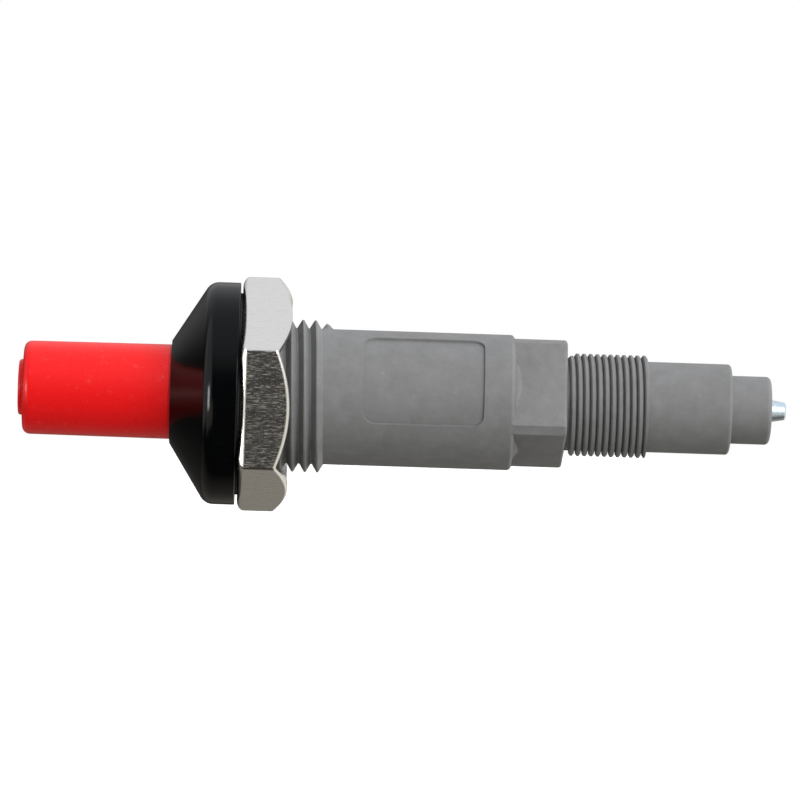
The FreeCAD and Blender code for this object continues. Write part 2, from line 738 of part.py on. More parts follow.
def make_guide():
    body = new_body("hammer_guide")
    turned(
        body,
        "Tube",
        [
            ("guide_front", "impact_coil + impact_wire / 2 + skirt_gap"),
            ("guide_front + guide_cap", "impact_coil + impact_wire / 2 + skirt_gap"),
            ("guide_front + guide_cap", "guide_bore"),
            ("guide_end", "guide_bore"),
            ("guide_end", "bore_radius - guide_foot_gap"),
            ("guide_end - guide_foot", "bore_radius - guide_foot_gap"),
            ("guide_end - guide_foot", "guide_outer"),
            ("guide_front", "guide_outer"),
        ],
    )
    half = "latch_hook / 2 + window_spare"
    window = block(
        body,
        "Window",
        ("hook_front - window_spare", f"-({half})", "groove_radius"),
        ("hook_front + latch_sheet + window_spare", half, "2 * guide_outer"),
        cut=True,
    )
    polar(body, "Windows", [window], FINGERS)
    return body


def make_latch():
    """A split ring with three fingers. Each has a hook in the hammer's groove and two ears that the button's
    skirt lifts."""
    body = new_body("latch_spring")
    low = "guide_outer + latch_free"
    high = f"{low} + latch_sheet"
    ring(body, "Ring", low, high, "ring_start", "ring_start + latch_ring")
    block(
        body,
        "Split",
        ("ring_start - latch_ring", "-latch_split / 2", "-2 * guide_outer"),
        ("ring_start + 2 * latch_ring", "latch_split / 2", "0"),
        cut=True,
    )
    wide = "latch_finger / 2"
    finger = block(
        body, "Finger", ("hook_front", f"-{wide}", low), ("ring_start + latch_ring / 2", wide, high)
    )
    narrow = "latch_hook / 2"
    hook = block(
        body,
        "Hook",
        ("hook_front", f"-{narrow}", "hammer_radius - latch_grip"),
        ("hook_front + latch_sheet", narrow, high),
    )
    side = new_sketch(body, "EarOutline", shift=f"-({wide})")
    rise = "latch_ear * tan(latch_ear_turn * 1 deg)"
    outline(
        side,
        [
            ("hook_front", low),
            ("hook_front - latch_ear", f"{low} + {rise}"),
            ("hook_front - latch_ear", f"{high} + {rise}"),
            ("hook_front", high),
        ],
    )
    ear = extruded(body, "Ear", side, "latch_finger")
    slot = block(
        body,
        "EarSlot",
        ("hook_front - 2 * latch_ear", f"-{narrow}", low),
        ("hook_front", narrow, f"{high} + 2 * latch_ear"),
        cut=True,
    )
    polar(body, "Fingers", [finger, hook, ear, slot], FINGERS)
    return body


def make_hammer():
    body = new_body("hammer")
    turned(
        body,
        "Striker",
        [
            ("hammer_start", "0"),
            ("hammer_front", "0"),
            ("hammer_front", "hammer_nose - hammer_edge"),
            ("hammer_front - hammer_edge", "hammer_nose"),
            ("hammer_shoulder", "hammer_nose"),
            ("hammer_shoulder", "hammer_radius - hammer_edge"),
            ("hammer_shoulder - hammer_edge", "hammer_radius"),
            ("groove_end", "hammer_radius"),
            ("groove_end", "groove_radius"),
            ("groove_start", "groove_radius"),
            ("groove_start", "hammer_radius"),
            ("collar_start + hammer_edge", "hammer_radius"),
            ("collar_start", "hammer_radius - hammer_edge"),
            ("collar_start", "hammer_tail"),
            ("hammer_start + hammer_edge", "hammer_tail"),
            ("hammer_start", "hammer_tail - hammer_edge"),
        ],
    )
    return body


def make_anvil():
    body = new_body("anvil")
    turned(
        body,
        "Anvil",
        [
            ("anvil_face", "0"),
            ("stack_start", "0"),
            ("stack_start", "rod_radius"),
            ("bore_end", "rod_radius"),
            ("bore_end", "anvil_flange_radius"),
            ("anvil_flange_front", "anvil_flange_radius"),
            ("anvil_flange_front", "hammer_nose"),
            ("anvil_face + hammer_edge", "hammer_nose"),
            ("anvil_face", "hammer_nose - hammer_edge"),
        ],
    )
    return body


def make_strip():
    """The earth strip: a lug under the cushion ring, a leg along the bore, a hook over the spigot's end and
    a tab in the bezel's back face."""
    body = new_body("earth_strip")
    ring(body, "Lug", "cushion_hole", "anvil_flange_radius", "lug_front", "anvil_flange_front")
    side = "strip_width / 2"
    inside = "bore_radius + strip_gap / 2"
    inside_far = f"{inside} + strip_thickness"
    outside = "spigot_radius - strip_gap - strip_thickness"
    outside_far = "spigot_radius - strip_gap"
    front = "strip_gap - spigot_length"
    lug_middle = "cushion_hole / 2 + anvil_flange_radius / 2"
    legs = {
        "LugLeg": (("lug_front", lug_middle), ("anvil_flange_front", inside_far)),
        "BoreLeg": ((front, inside), ("anvil_flange_front", inside_far)),
        "Hook": ((front, inside), (f"{front} + strip_thickness", outside_far)),
        "SpigotLeg": ((front, outside), ("0", outside_far)),
        "Tab": (("-strip_thickness", outside), ("0", "strip_reach")),
    }
    for name, (low, high) in legs.items():
        block(body, name, (*low, f"-{side}"), (*high, side))
    return body


def make_pin():
    body = new_body("terminal_pin")
    turned(
        body,
        "Pin",
        [
            ("electrode_end", "0"),
            ("pin_end", "0"),
            ("pin_end", "pin_tip_radius"),
            ("nose_end", "pin_radius"),
            ("stack_bore_end", "pin_radius"),
            ("stack_bore_end", "pin_head_radius"),
            ("electrode_end", "pin_head_radius"),
        ],
    )
    return body


def make_spring(label, start, end, wire, coil, turns):
    """A wire wound between two stations, touching both."""
    body = new_body(label)
    sketch = new_sketch(body, "Wire")
    circle(sketch, f"{wire} / 2", f"({start}) + {wire} / 2", coil)
    height = f"(({end}) - ({start}) - {wire})"
    helix(body, "Coil", sketch, f"{height} / {turns}", height)
    return body


def make_rings():
    """The plain rings, discs and rods: label, inner and outer radius, start and end."""
    rings = {
        "panel_washer": ("panel_major + washer_gap", "washer_radius", "0", "washer_thickness"),
        "spring_seat": (
            "seat_hole",
            "button_bore - seat_gap",
            "-seat_reach - seat_thickness",
            "-seat_reach",
        ),
        "cushion_ring": ("cushion_hole", "anvil_flange_radius", "guide_end", "lug_front"),
        "front_contact_disc": ("0", "rod_radius", "stack_start", "rod_start"),
        "piezo_front": ("0", "rod_radius", "rod_start", "rod_middle"),
        "middle_contact_disc": ("0", "rod_radius", "rod_middle", "rear_rod_start"),
        "piezo_rear": ("0", "rod_radius", "rear_rod_start", "rear_rod_end"),
        "rear_contact_disc": ("0", "rod_radius", "rear_rod_end", "electrode_start"),
        "back_electrode": ("0", "rod_radius", "electrode_start", "electrode_end"),
        "insulating_sleeve": (
            "sleeve_inner",
            "sleeve_outer",
            "bore_end + sleeve_gap",
            "stack_bore_end - sleeve_gap",
        ),
    }
    bodies = []
    for label, (inner, outer, start, end) in rings.items():
        body = new_body(label)
        ring(body, "Round", inner, outer, start, end)
        bodies.append(body)
    return bodies


def make_springs():
    ends = {
        "impact": ("-seat_reach", "collar_start"),
        "return": ("-seat_reach", "guide_front"),
        "reset": ("hammer_shoulder", "anvil_flange_front"),
    }
    return [
        make_spring(f"{name}_spring", start, end, f"{name}_wire", f"{name}_coil", f"{name}_turns")
        for name, (start, end) in ends.items()
    ]


def check_features(body):
    """Every feature must have changed the solid, so that no cut or rib missed it."""
    volume = 0.0
    for item in body.Group:
        if item.isDerivedFrom("PartDesign::Feature") and not item.Shape.isNull():
            if abs(item.Shape.Volume - volume) < 1e-4:
                raise RuntimeError(f"{body.Label}: {item.Label} changed nothing")
            volume = item.Shape.Volume


def check_all(bodies):
    for item in doc.Objects:
        if {"Invalid", "Error"} & set(item.State):
            raise RuntimeError(f"{item.Label} failed: {item.State}")
    for body in bodies:
        if body.Shape.isNull() or not body.Shape.isValid() or len(body.Shape.Solids) != 1:
            raise RuntimeError(f"{body.Label} has no single valid solid")
        check_features(body)


bodies = [make_housing(), make_bezel(), make_button(), make_nut(), make_guide(), make_latch()]
bodies += [make_hammer(), make_anvil(), make_strip(), make_pin()]
bodies += make_rings() + make_springs()
doc.recompute()
check_all(bodies)

os.makedirs("parts", exist_ok=True)
for body in bodies:
    body.Shape.exportStep(f"parts/{body.Label}.step")
    print(f"{body.Label}: {body.Shape.Volume:.2f} mm3")
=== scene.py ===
"""Looks of a push-button piezo igniter for a panel hole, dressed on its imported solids.

Sizes in the classes are millimetres in the part's own frame: X runs along the igniter from the button to the
output pin, Z is up, and the origin is on the axis at the back face of the bezel. Angles about the axis count
from straight up towards the camera, so that a point is (x, -r sin(angle), r cos(angle)).
"""
import json
import logging
import math
from dataclasses import dataclass, field
from enum import Enum
from typing import Any, Optional, Sequence

import bpy
import numpy as np
from bpy.types import Material, Node, NodeSocket, NodeTree, Object
from mathutils import Matrix, Vector


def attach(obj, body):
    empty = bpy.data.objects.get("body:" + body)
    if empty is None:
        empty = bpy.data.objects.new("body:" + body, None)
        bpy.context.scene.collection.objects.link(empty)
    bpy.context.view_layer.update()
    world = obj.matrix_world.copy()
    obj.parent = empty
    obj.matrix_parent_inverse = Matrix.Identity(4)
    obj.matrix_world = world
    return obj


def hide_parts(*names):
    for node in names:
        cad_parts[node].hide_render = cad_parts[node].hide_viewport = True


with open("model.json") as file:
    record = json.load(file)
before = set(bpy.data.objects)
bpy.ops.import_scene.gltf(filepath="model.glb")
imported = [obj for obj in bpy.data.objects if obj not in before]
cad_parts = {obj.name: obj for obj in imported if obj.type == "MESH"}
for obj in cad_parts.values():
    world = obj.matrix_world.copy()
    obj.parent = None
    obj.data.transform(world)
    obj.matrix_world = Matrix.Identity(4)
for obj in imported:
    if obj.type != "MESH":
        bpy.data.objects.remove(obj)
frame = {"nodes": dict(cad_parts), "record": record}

LOG = logging.getLogger("igniter")
MM = 0.001
TURN = 2.0 * math.pi
Colour = tuple[float, float, float, float]


class Body(Enum):
    """The moving bodies that pieces ride on."""

    HOUSING = "housing"
    BUTTON = "button"
    WASHER = "washer"
    NUT = "nut"


def linear(colour: str) -> Colour:
    """Turn an sRGB hex colour to linear light.

    Args:
        colour: the colour as "#rrggbb".

    Returns:
        Red, green, blue and an alpha of one.
    """
    parts = np.array([int(colour[at : at + 2], 16) for at in (1, 3, 5)]) / 255.0
    light = np.where(parts <= 0.04045, parts / 12.92, ((parts + 0.055) / 1.055) ** 2.4)
    return (float(light[0]), float(light[1]), float(light[2]), 1.0)


def per(size: float) -> float:
    """The texture scale at which one cell of a pattern is size millimetres wide."""
    return 1.0 / (size * MM)


def add_node(
    tree: NodeTree,
    kind: str,
    settings: Optional[dict[Any, Any]] = None,
    links: Optional[dict[Any, Any]] = None,
) -> Node:
    """Add a shader node with its settings and links.

    Args:
        tree: the node tree that it goes into.
        kind: the node's type name after "ShaderNode".
        settings: values of its own properties, or of its inputs by name or number.
        links: by this node's input name or number, an output socket, or a node for its first output.

    Returns:
        The new node.
    """
    node = tree.nodes.new("ShaderNode" + kind)
    for name, value in (settings or {}).items():
        if isinstance(name, int) or name in node.inputs:
            node.inputs[name].default_value = value
        else:
            setattr(node, name, value)
    for name, source in (links or {}).items():
        socket = source.outputs[0] if isinstance(source, Node) else source
        tree.links.new(socket, node.inputs[name])
    return node


# Surfaces


@dataclass(frozen=True)
class Corner:
    """One corner of a turned outline: its station, its radius from the axis and its rounding."""

    x: float
    r: float
    rounding: float = 0.0


def rounded(corners: Sequence[Corner], steps: int = 6) -> np.ndarray:
    """Round the corners of an open outline.

    A rounded corner becomes an arc that is tangent to both its sides. The arc starts at rounding / tan(half
    the corner's angle) from the corner, and its middle lies on the bisector. A guard point on each side of
    the arc keeps the shading of the straight sides straight.

    Args:
        corners: the outline's corners in order.
        steps: segments of each arc.

    Returns:
        Stations and radii, one row a point.
    """
    spots = np.array([(corner.x, corner.r) for corner in corners], float)
    runs = [spots[:1]]
    for at in range(1, len(corners) - 1):
        size = corners[at].rounding
        if size <= 0:
            runs.append(spots[at : at + 1])
            continue
        sides = spots[[at - 1, at + 1]] - spots[at]
        back, ahead = sides / np.linalg.norm(sides, axis=1)[:, None]
        half = 0.5 * math.acos(float(np.clip(back @ ahead, -1, 1)))
        reach = size / math.tan(half)
        bisector = (back + ahead) / np.linalg.norm(back + ahead)
        middle = spots[at] + bisector * size / math.sin(half)
        first = spots[at] + back * reach - middle
        last = spots[at] + ahead * reach - middle
        sweep = math.pi - 2 * half
        share = np.linspace(0, 1, steps + 1)[:, None]
        arc = middle + (np.sin((1 - share) * sweep) * first + np.sin(share * sweep) * last) / math.sin(sweep)
        guard = 0.15 * size
        runs.append(arc[:1] + back * guard)
        runs.append(arc)
        runs.append(arc[-1:] + ahead * guard)
    runs.append(spots[-1:])
    return np.concatenate(runs)


def on_axis(x: np.ndarray, r: np.ndarray, angles: np.ndarray) -> np.ndarray:
    """Points of a surface from stations and radii over angles, as a grid of rows, columns and x, y, z."""
    x, r, angles = np.broadcast_arrays(x, r, angles)
    return np.stack([x, -r * np.sin(angles), r * np.cos(angles)], axis=-1)


def spun(outline: np.ndarray, angles: np.ndarray) -> np.ndarray:
    """Carry an outline round the axis: each of its points becomes a row of the grid."""
    return on_axis(outline[:, :1], outline[:, 1:], angles)


def round_angles(count: int) -> np.ndarray:
    """Equal angles round the axis, with the first one again at the end."""
    return np.linspace(0, TURN, count + 1)


def make_piece(
    name: str,
    grids: Sequence[np.ndarray],
    body: Body,
    material: Material,
    node: str,
    crease: float = 35.0,
) -> Object:
    """Make one object of grids of points and let it stand for a node of the frame.

    Each cell of a grid becomes two triangles. Points that coincide, such as a pole, a seam or the shared
    border of two grids, become one vertex, and triangles without area are left out. The sign of the enclosed
    volume, the sum of a . (b x c) / 6 over the triangles, tells whether the faces point outwards.

    Args:
        name: the object's name.
        grids: arrays of rows, columns and x, y, z in millimetres.
        body: the body that it rides on.
        material: its finish.
        node: the node that it stands for.
        crease: edges sharper than this angle, in degrees, stay sharp in the shading.

    Returns:
        The new object.
    """
    spots, faces, count = [], [], 0
    for grid in grids:
        rows, columns = grid.shape[:2]
        index = np.arange(rows * columns).reshape(rows, columns) + count
        count += rows * columns
        a, b, c, d = index[:-1, :-1], index[1:, :-1], index[1:, 1:], index[:-1, 1:]
        faces.append(np.stack([a, d, c], axis=-1).reshape(-1, 3))
        faces.append(np.stack([a, c, b], axis=-1).reshape(-1, 3))
        spots.append(grid.reshape(-1, 3))
    spots = np.concatenate(spots) * MM
    faces = np.concatenate(faces)
    keys = np.round(spots / 1e-8).astype(np.int64)
    _, first, inverse = np.unique(keys, axis=0, return_index=True, return_inverse=True)
    faces = inverse.reshape(-1)[faces]
    spots = spots[first]
    kept = (faces[:, 0] != faces[:, 1]) & (faces[:, 1] != faces[:, 2]) & (faces[:, 2] != faces[:, 0])
    faces = faces[kept]
    corners = spots[faces]
    if np.einsum("ij,ij->", corners[:, 0], np.cross(corners[:, 1], corners[:, 2])) < 0:
        faces = faces[:, ::-1]
    mesh = bpy.data.meshes.new(name)
    mesh.vertices.add(len(spots))
    mesh.vertices.foreach_set("co", spots.astype(np.float32).ravel())
    mesh.loops.add(faces.size)
    mesh.loops.foreach_set("vertex_index", faces.astype(np.int32).ravel())
    mesh.polygons.add(len(faces))
    mesh.polygons.foreach_set("loop_start", np.arange(0, faces.size, 3, dtype=np.int32))
    mesh.update(calc_edges=True)
    mesh.validate()
    mesh.shade_smooth()
    mesh.set_sharp_from_angle(angle=math.radians(crease))
    mesh.materials.append(material)
    piece = bpy.data.objects.new(name, mesh)
    bpy.context.scene.collection.objects.link(piece)
    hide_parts(node)
    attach(piece, body.value)
    LOG.info("%s: %d triangles", name, len(mesh.polygons))
    return piece


@dataclass(frozen=True)
class Thread:
    """A right-handed thread.

    At station x and angle a its radius is that of its section at the share (x - first) / pitch - a / turn of
    a pitch from the crest. The rows of its mesh run along the helix, so its crest is one clean line.
    """

    first: float
    pitch: float
    turns: float
    root: float
    section: tuple[tuple[float, float], ...]
    fade: float = 0.05

    def radius(self, x: np.ndarray, angles: np.ndarray) -> np.ndarray:
        """Radius at stations and angles. Both ends of the rib fade in and out over a share of a turn."""
        away, radii = np.array(self.section).T
        along = (x - self.first) / self.pitch - angles / TURN
        rib = np.round(along)
        radius = np.interp(along - rib, away / self.pitch, radii)
        turn = rib + angles / TURN
        rise = np.clip(turn / self.fade, 0, 1) * np.clip((self.turns - turn) / self.fade, 0, 1)
        return self.root + (radius - self.root) * rise

    def rows(self, angles: np.ndarray, start: float, end: float) -> tuple[np.ndarray, np.ndarray]:
        """Rows between two stations.

        Args:
            angles: the columns' angles.
            start: where the first row lies square to the axis.
            end: where the last row does.

        Returns:
            Stations and radii of the grid.
        """
        shares = np.array(self.section)[:-1, 0] / self.pitch
        low = math.floor((start - self.first) / self.pitch) - 2
        high = math.ceil((end - self.first) / self.pitch) + 1
        steps = (np.arange(low, high + 1)[:, None] + shares[None, :]).ravel()
        x = self.first + self.pitch * (steps[:, None] + angles / TURN)
        x = np.clip(x, start, end)
        return x, self.radius(x, angles)


def thread_section(
    pitch: float, corners: Sequence[tuple[float, float]], rounding: float, steps: int = 3
) -> tuple[tuple[float, float], ...]:
    """The section of a thread from root to root.

    Args:
        pitch: the thread's pitch.
        corners: distance from the crest's middle and radius of each corner, from the root to the crest.
        rounding: rounding of every corner.
        steps: segments of each rounding.

    Returns:
        Distance from the crest's middle and radius of each point.
    """
    left = [Corner(-pitch / 2, corners[0][1])] + [Corner(-away, r, rounding) for away, r in corners]
    right = [Corner(away, r, rounding) for away, r in reversed(corners)] + [Corner(pitch / 2, corners[0][1])]
    points = rounded(left + right, steps)
    return tuple((float(away), float(r)) for away, r in points)


# Finishes


@dataclass(frozen=True)
class Finish:
    """A plain surface. Its kinds add what shows how they were made."""

    name: str
    colour: str
    roughness: float
    metallic: float = 0.0
    specular: float = 0.5

    def build(self) -> Material:
        """Make the material, with its constant values on the shader's own sockets."""
        material = bpy.data.materials.new(self.name)
        material.use_nodes = True
        tree = material.node_tree
        shader = tree.nodes["Principled BSDF"]
        shader.inputs["Base Color"].default_value = linear(self.colour)
        shader.inputs["Roughness"].default_value = self.roughness
        shader.inputs["Metallic"].default_value = self.metallic
        shader.inputs["Specular IOR Level"].default_value = self.specular
        place = add_node(tree, "TexCoord").outputs["Object"]
        self.dress(tree, shader, place)
        return material

    def dress(self, tree: NodeTree, shader: Node, place: NodeSocket) -> None:
        """Add fine grain to the roughness."""
        grain = add_node(tree, "TexNoise", {"Scale": per(0.4), "Detail": 3.0}, {"Vector": place})
        spread = {"To Min": self.roughness - 0.06, "To Max": self.roughness + 0.06}
        level = add_node(tree, "MapRange", spread, {"Value": grain})
        tree.links.new(level.outputs[0], shader.inputs["Roughness"])


@dataclass(frozen=True)
class MouldedNylon(Finish):
    """Glass-filled nylon from a spark-eroded tool: a dull, even grey with pale specks and dark marks."""

    light: str = "#7f7f80"
    blotch: float = 2.6
    grain: float = 0.5
    grain_depth: float = 0.012
    speck: float = 4.0
    speck_colour: str = "#c4c4c2"
    mark: float = 6.5
    mark_colour: str = "#474745"
    scuff: float = 2.2
    scuff_colour: str = "#a3a2a0"

    def spots(self, tree: NodeTree, place: NodeSocket, cell: float, size: float, share: float) -> Node:
        """Scatter small round spots.

        Args:
            tree: the material's node tree.
            place: the object coordinates.
            cell: the mean distance between possible spots, in millimetres.
            size: a spot's radius in millimetres.
            share: the share of the possible spots that are there.

        Returns:
            The node that gives one in a spot and zero outside, with a soft border.
        """
        cells = add_node(tree, "TexVoronoi", {"Scale": per(cell)}, {"Vector": place})
        near = add_node(
            tree,
            "MapRange",
            {"From Min": 1.3 * size / cell, "From Max": 0.7 * size / cell},
            {"Value": cells.outputs["Distance"]},
        )
        there = add_node(tree, "Math", {"operation": "LESS_THAN", 1: share}, {0: cells.outputs["Color"]})
        spot = add_node(tree, "Math", {"operation": "MULTIPLY"}, {0: near, 1: there})
        return spot

    def dress(self, tree: NodeTree, shader: Node, place: NodeSocket) -> None:
        """Mix two greys in soft clouds, add scuffs, specks and marks, and grain the surface."""
        blotch = add_node(
            tree,
            "TexNoise",
            {"Scale": per(self.blotch), "Detail": 8.0, "Roughness": 0.72},
            {"Vector": place},
        )
        share = add_node(tree, "MapRange", {"From Min": 0.3, "From Max": 0.7}, {"Value": blotch})
        grey = add_node(
            tree, "Mix", {"data_type": "RGBA", 6: linear(self.colour), 7: linear(self.light)}, {0: share}
        )
        rubbed = add_node(
            tree, "TexNoise", {"Scale": per(self.scuff), "Detail": 7.0, "Roughness": 0.72}, {"Vector": place}
        )
        scuffs = add_node(
            tree, "MapRange", {"From Min": 0.64, "From Max": 0.8, "To Max": 0.7}, {"Value": rubbed}
        )
        colour = add_node(
            tree, "Mix", {"data_type": "RGBA", 7: linear(self.scuff_colour)}, {0: scuffs, 6: grey.outputs[2]}
        )
        for cell, size, few, tint in (
            (self.speck, 0.1, 0.3, self.speck_colour), (self.mark, 0.12, 0.22, self.mark_colour)
        ):
            spot = self.spots(tree, place, cell, size, few)
            colour = add_node(
                tree, "Mix", {"data_type": "RGBA", 7: linear(tint)}, {0: spot, 6: colour.outputs[2]}
            )
        tree.links.new(colour.outputs[2], shader.inputs["Base Color"])
        fine = add_node(
            tree, "TexNoise", {"Scale": per(self.grain), "Detail": 3.0, "Roughness": 0.6}, {"Vector": place}
        )
        rough = add_node(
            tree,
            "MapRange",
            {"To Min": self.roughness - 0.08, "To Max": self.roughness + 0.08},
            {"Value": fine},
        )
        tree.links.new(rough.outputs[0], shader.inputs["Roughness"])
        bump = add_node(tree, "Bump", {"Strength": 1.0, "Distance": self.grain_depth * MM}, {"Height": fine})
        tree.links.new(bump.outputs[0], shader.inputs["Normal"])


@dataclass(frozen=True)
class GlossMoulding(Finish):
    """Thermoplastic from a polished tool: a clear gloss with a faint wave, finely scratched by handling."""

    wave: float = 2.5
    wave_depth: float = 0.004
    rub: float = 0.3
    rubbed: float = 0.12
    scuff: float = 1.3
    scuff_colour: str = "#202124"
    scuffed: float = 0.3

    def dress(self, tree: NodeTree, shader: Node, place: NodeSocket) -> None:
        """Add pale scuffs to the colour, rubbing marks to the roughness and a shallow wave to the normal."""
        worn = add_node(
            tree, "TexNoise", {"Scale": per(self.scuff), "Detail": 7.0, "Roughness": 0.75}, {"Vector": place}
        )
        scuffs = add_node(
            tree, "MapRange", {"From Min": 0.58, "From Max": 0.78, "To Max": self.scuffed}, {"Value": worn}
        )
        colour = add_node(
            tree,
            "Mix",
            {"data_type": "RGBA", 6: linear(self.colour), 7: linear(self.scuff_colour)},
            {0: scuffs},
        )
        tree.links.new(colour.outputs[2], shader.inputs["Base Color"])
        rub = add_node(
            tree, "TexNoise", {"Scale": per(self.rub), "Detail": 4.0, "Roughness": 0.7}, {"Vector": place}
        )
        rough = add_node(
            tree,
            "MapRange",
            {
                "From Min": 0.35,
                "From Max": 0.75,
                "To Min": self.roughness,
                "To Max": self.roughness + self.rubbed,
            },
            {"Value": rub},
        )
        tree.links.new(rough.outputs[0], shader.inputs["Roughness"])
        wave = add_node(tree, "TexNoise", {"Scale": per(self.wave), "Detail": 1.0}, {"Vector": place})
        bump = add_node(tree, "Bump", {"Strength": 1.0, "Distance": self.wave_depth * MM}, {"Height": wave})
        tree.links.new(bump.outputs[0], shader.inputs["Normal"])


@dataclass(frozen=True)
class DrawnMetal(Finish):
    """Metal shaped by a tool that slides along it: bright, with streaks along the tool's stroke.

    The streaks run along X where streak_length is the longer size, and round the axis where it is the
    shorter.
    """

    dull: str = "#cfcdc8"
    streak_length: float = 1.2
    streak_width: float = 0.14
    streak_depth: float = 0.022
    spread: float = 0.2

    def dress(self, tree: NodeTree, shader: Node, place: NodeSocket) -> None:
        """Stretch a noise for the streaks, and use it in colour, roughness and bump."""
        stretch = add_node(
            tree,
            "Mapping",
            {"Scale": (per(self.streak_length), per(self.streak_width), per(self.streak_width))},
            {"Vector": place},
        )
        streaks = add_node(
            tree, "TexNoise", {"Scale": 1.0, "Detail": 5.0, "Roughness": 0.72}, {"Vector": stretch}
        )
        share = add_node(tree, "MapRange", {"From Min": 0.35, "From Max": 0.5}, {"Value": streaks})
        colour = add_node(
            tree, "Mix", {"data_type": "RGBA", 6: linear(self.dull), 7: linear(self.colour)}, {0: share}
        )
        tree.links.new(colour.outputs[2], shader.inputs["Base Color"])
        rough = add_node(
            tree,
            "MapRange",
            {"To Min": self.roughness + self.spread, "To Max": self.roughness - 0.04},
            {"Value": share},
        )
        tree.links.new(rough.outputs[0], shader.inputs["Roughness"])
        bump = add_node(
            tree, "Bump", {"Strength": 1.0, "Distance": self.streak_depth * MM}, {"Height": streaks}
        )
        tree.links.new(bump.outputs[0], shader.inputs["Normal"])


FINISHES: dict[str, Finish] = {
    # Glass-filled nylon, moulded: a dull neutral grey in faint clouds, with a few pale specks and dark marks
    "grey_moulding": MouldedNylon("glass_filled_nylon", "#717171", 0.5, specular=0.3),
    # ABS, moulded in a polished tool: near black, with clear soft-edged reflections
    "black_gloss": GlossMoulding("gloss_black_abs", "#040506", 0.1, specular=0.14),
    # ABS, moulded: a full warm red with a broad soft sheen
    "red_moulding": GlossMoulding(
        "red_abs", "#ef0d11", 0.26, specular=0.27, scuff_colour="#ff8f8f", scuffed=0.26
    ),
    # Steel sheet, drawn and nickel plated: bright and faintly warm, streaked along the press stroke
    "nickel_sheet": DrawnMetal("nickel_plated_sheet", "#dad9d7", 0.17, 1.0, spread=0.24),
    # Nitrile rubber, cut from sheet: black and dead matt
    "black_rubber": Finish("nitrile_rubber", "#101011", 0.75),
    # Steel, turned and zinc plated: bluish white, with fine rings round the axis
    "zinc_steel": DrawnMetal(
        "zinc_plated_steel", "#cfdeea", 0.4, 1.0, dull="#a9bccd",
        streak_length=0.09, streak_width=0.9, streak_depth=0.006, spread=0.08,
    ),
    # Spring steel, drawn wire and strip: dark grey with a dull shine
    "spring_steel": Finish("spring_steel", "#8c8c90", 0.3, 1.0),
    # Free-cutting steel, turned: grey, with fine rings round the axis
    "turned_steel": DrawnMetal(
        "turned_steel", "#a6a6a6", 0.26, 1.0, dull="#8b8b8b",
        streak_length=0.12, streak_width=1.2, streak_depth=0.006, spread=0.08,
    ),
    # Soft copper, punched: warm and slightly dulled
    "copper": Finish("soft_copper", "#c9805a", 0.3, 1.0),
    # Brass, rolled strip: yellow, with faint rolling streaks
    "brass_sheet": DrawnMetal(
        "rolled_brass", "#d1ae68", 0.26, 1.0, dull="#b8945a",
        streak_length=0.2, streak_width=1.6, streak_depth=0.004, spread=0.06,
    ),
    # Polyamide, moulded: off-white and satin
    "white_insulation": Finish("white_polyamide", "#e0e0dc", 0.5),
    # Acetal, moulded without pigment: milky and satin
    "natural_moulding": Finish("natural_acetal", "#d4cfc2", 0.45),
    # Lead zirconate titanate, sintered: brown-grey and dead matt
    "piezo_ceramic": Finish("sintered_piezo_ceramic", "#a2906f", 0.7),
}


# Pieces


# Stations of the snap bead that holds the bezel on the housing's spigot: foot, crest, crest and foot
BEAD_STATIONS = (-3.8, -3.2667, -2.7333, -2.2)


def bead(wall: float, rise: float) -> list[Corner]:
    """The snap bead's corners, front to back, for the radius of the wall that it stands on and its rise."""
    return [Corner(x, wall + up) for x, up in zip(BEAD_STATIONS, (0.0, rise, rise, 0.0))]


